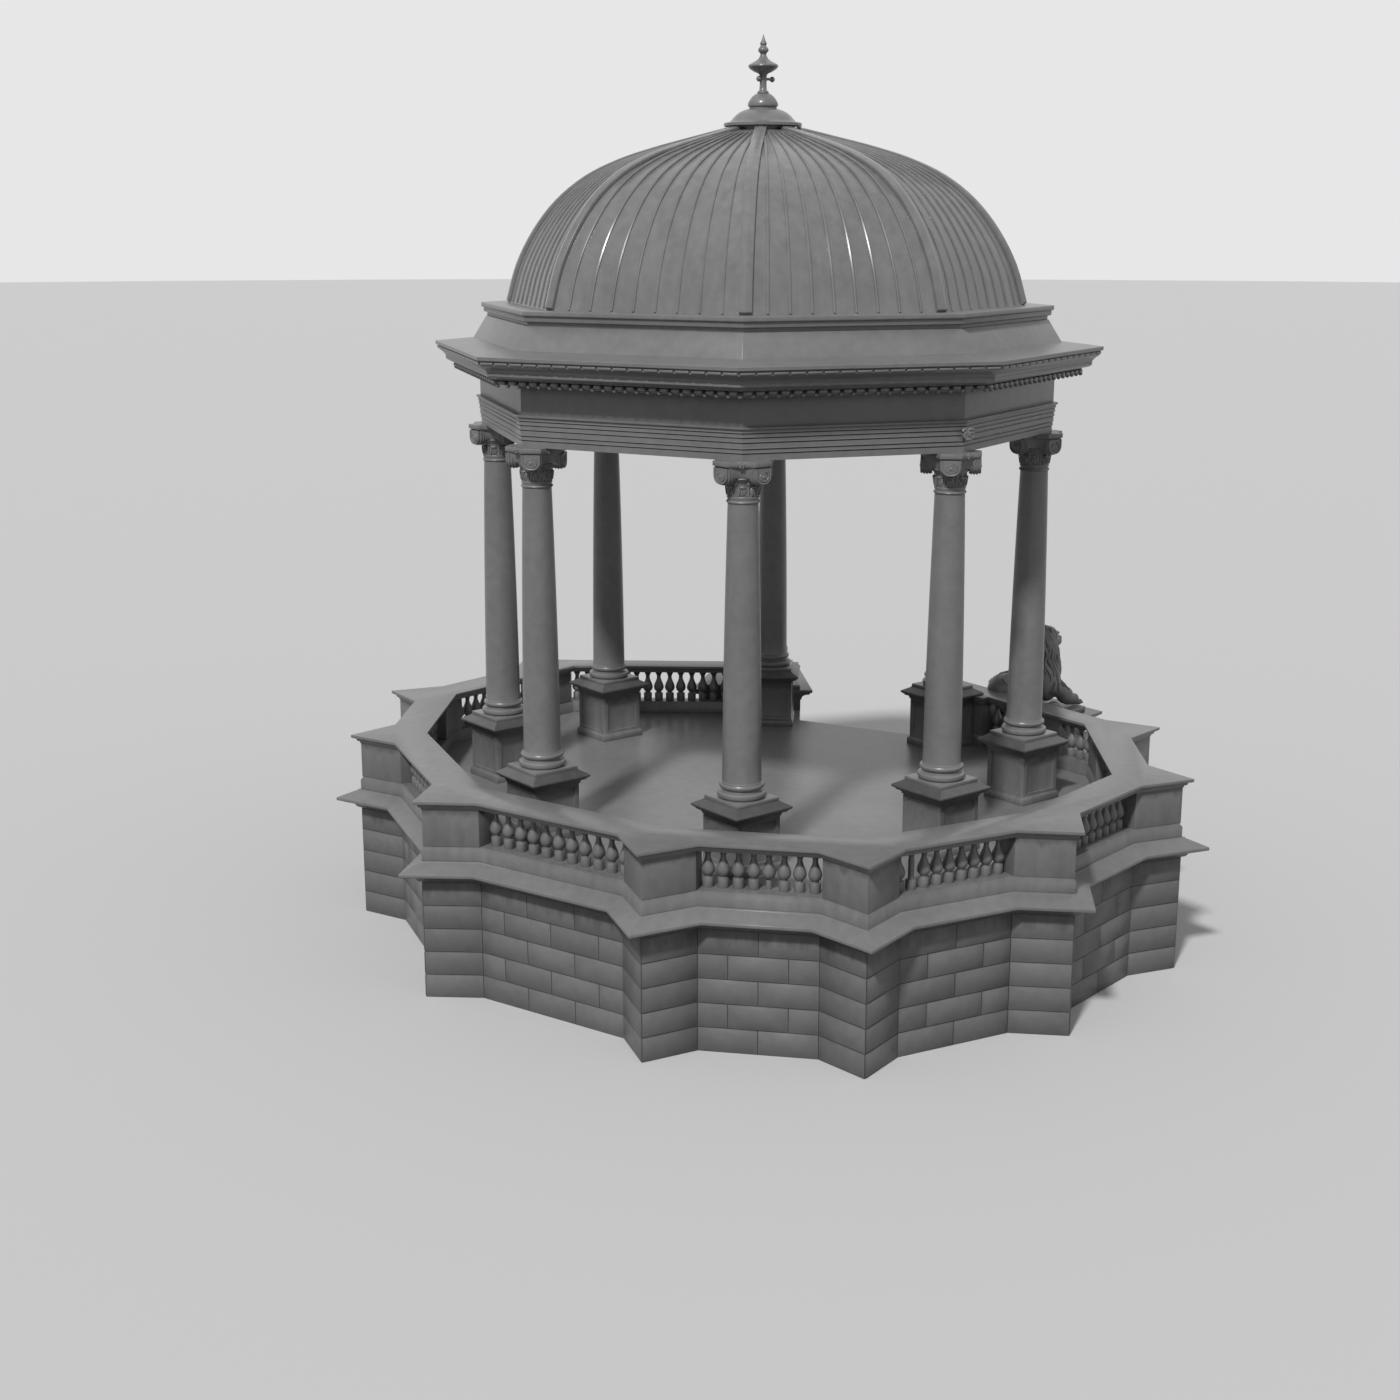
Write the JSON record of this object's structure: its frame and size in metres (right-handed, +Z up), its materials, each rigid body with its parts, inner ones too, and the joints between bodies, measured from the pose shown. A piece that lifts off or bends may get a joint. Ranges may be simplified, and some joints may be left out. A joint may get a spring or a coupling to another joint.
{
  "type": "domed marble pavilion",
  "caption": "Open domed pavilion: columns on panelled pedestals carry an entablature and ogee dome above a balustraded, star-shaped terrace entered between two lying lions.",
  "frame": {"origin": "centre of the ring of columns, on the ground that the terrace stands on", "axes": "+X runs from the centre through column_1, beside the entrance, +Z up, +Y through column_3"},
  "size_m": [15.404, 15.3266, 14.736],
  "materials": {
    "ashlar_stone": "satin",
    "fill_stone": "matte",
    "paving_stone": "satin",
    "dressed_stone": "satin",
    "carved_stone": "satin",
    "roof_lead": "satin"
  },
  "bodies": {
    "root": {"terrace_core": "fill_stone", "terrace_wall": "ashlar_stone", "ledge": "ashlar_stone", "floor": "paving_stone", "entrance_steps": "fill_stone", "step_treads": "paving_stone", "plinth_course": "dressed_stone", "corner_piers": "dressed_stone", "balusters_bay_1": "dressed_stone", "balusters_bay_2": "dressed_stone", "balusters_bay_3": "dressed_stone", "balusters_bay_4": "dressed_stone", "balusters_bay_5": "dressed_stone", "balusters_bay_6": "dressed_stone", "balusters_bay_7": "dressed_stone", "balusters_bay_8": "dressed_stone", "balusters_wing_right": "dressed_stone", "balusters_wing_left": "dressed_stone", "coping": "dressed_stone", "lion_pier_right": "carved_stone", "lion_pier_left": "carved_stone", "lion_right": "carved_stone", "lion_left": "carved_stone", "pedestals": "dressed_stone", "column_1": "dressed_stone", "column_2": "dressed_stone", "column_3": "dressed_stone", "column_4": "dressed_stone", "column_5": "dressed_stone", "column_6": "dressed_stone", "column_7": "dressed_stone", "column_8": "dressed_stone", "capitals": "carved_stone", "architrave": "dressed_stone", "frieze": "dressed_stone", "dentils": "dressed_stone", "cornice": "dressed_stone", "attic": "dressed_stone", "attic_ring": "dressed_stone", "dome": "roof_lead", "dome_ribs": "roof_lead", "dome_seams": "roof_lead", "collar": "roof_lead", "finial": "roof_lead"}
  },
  "joints": []
}
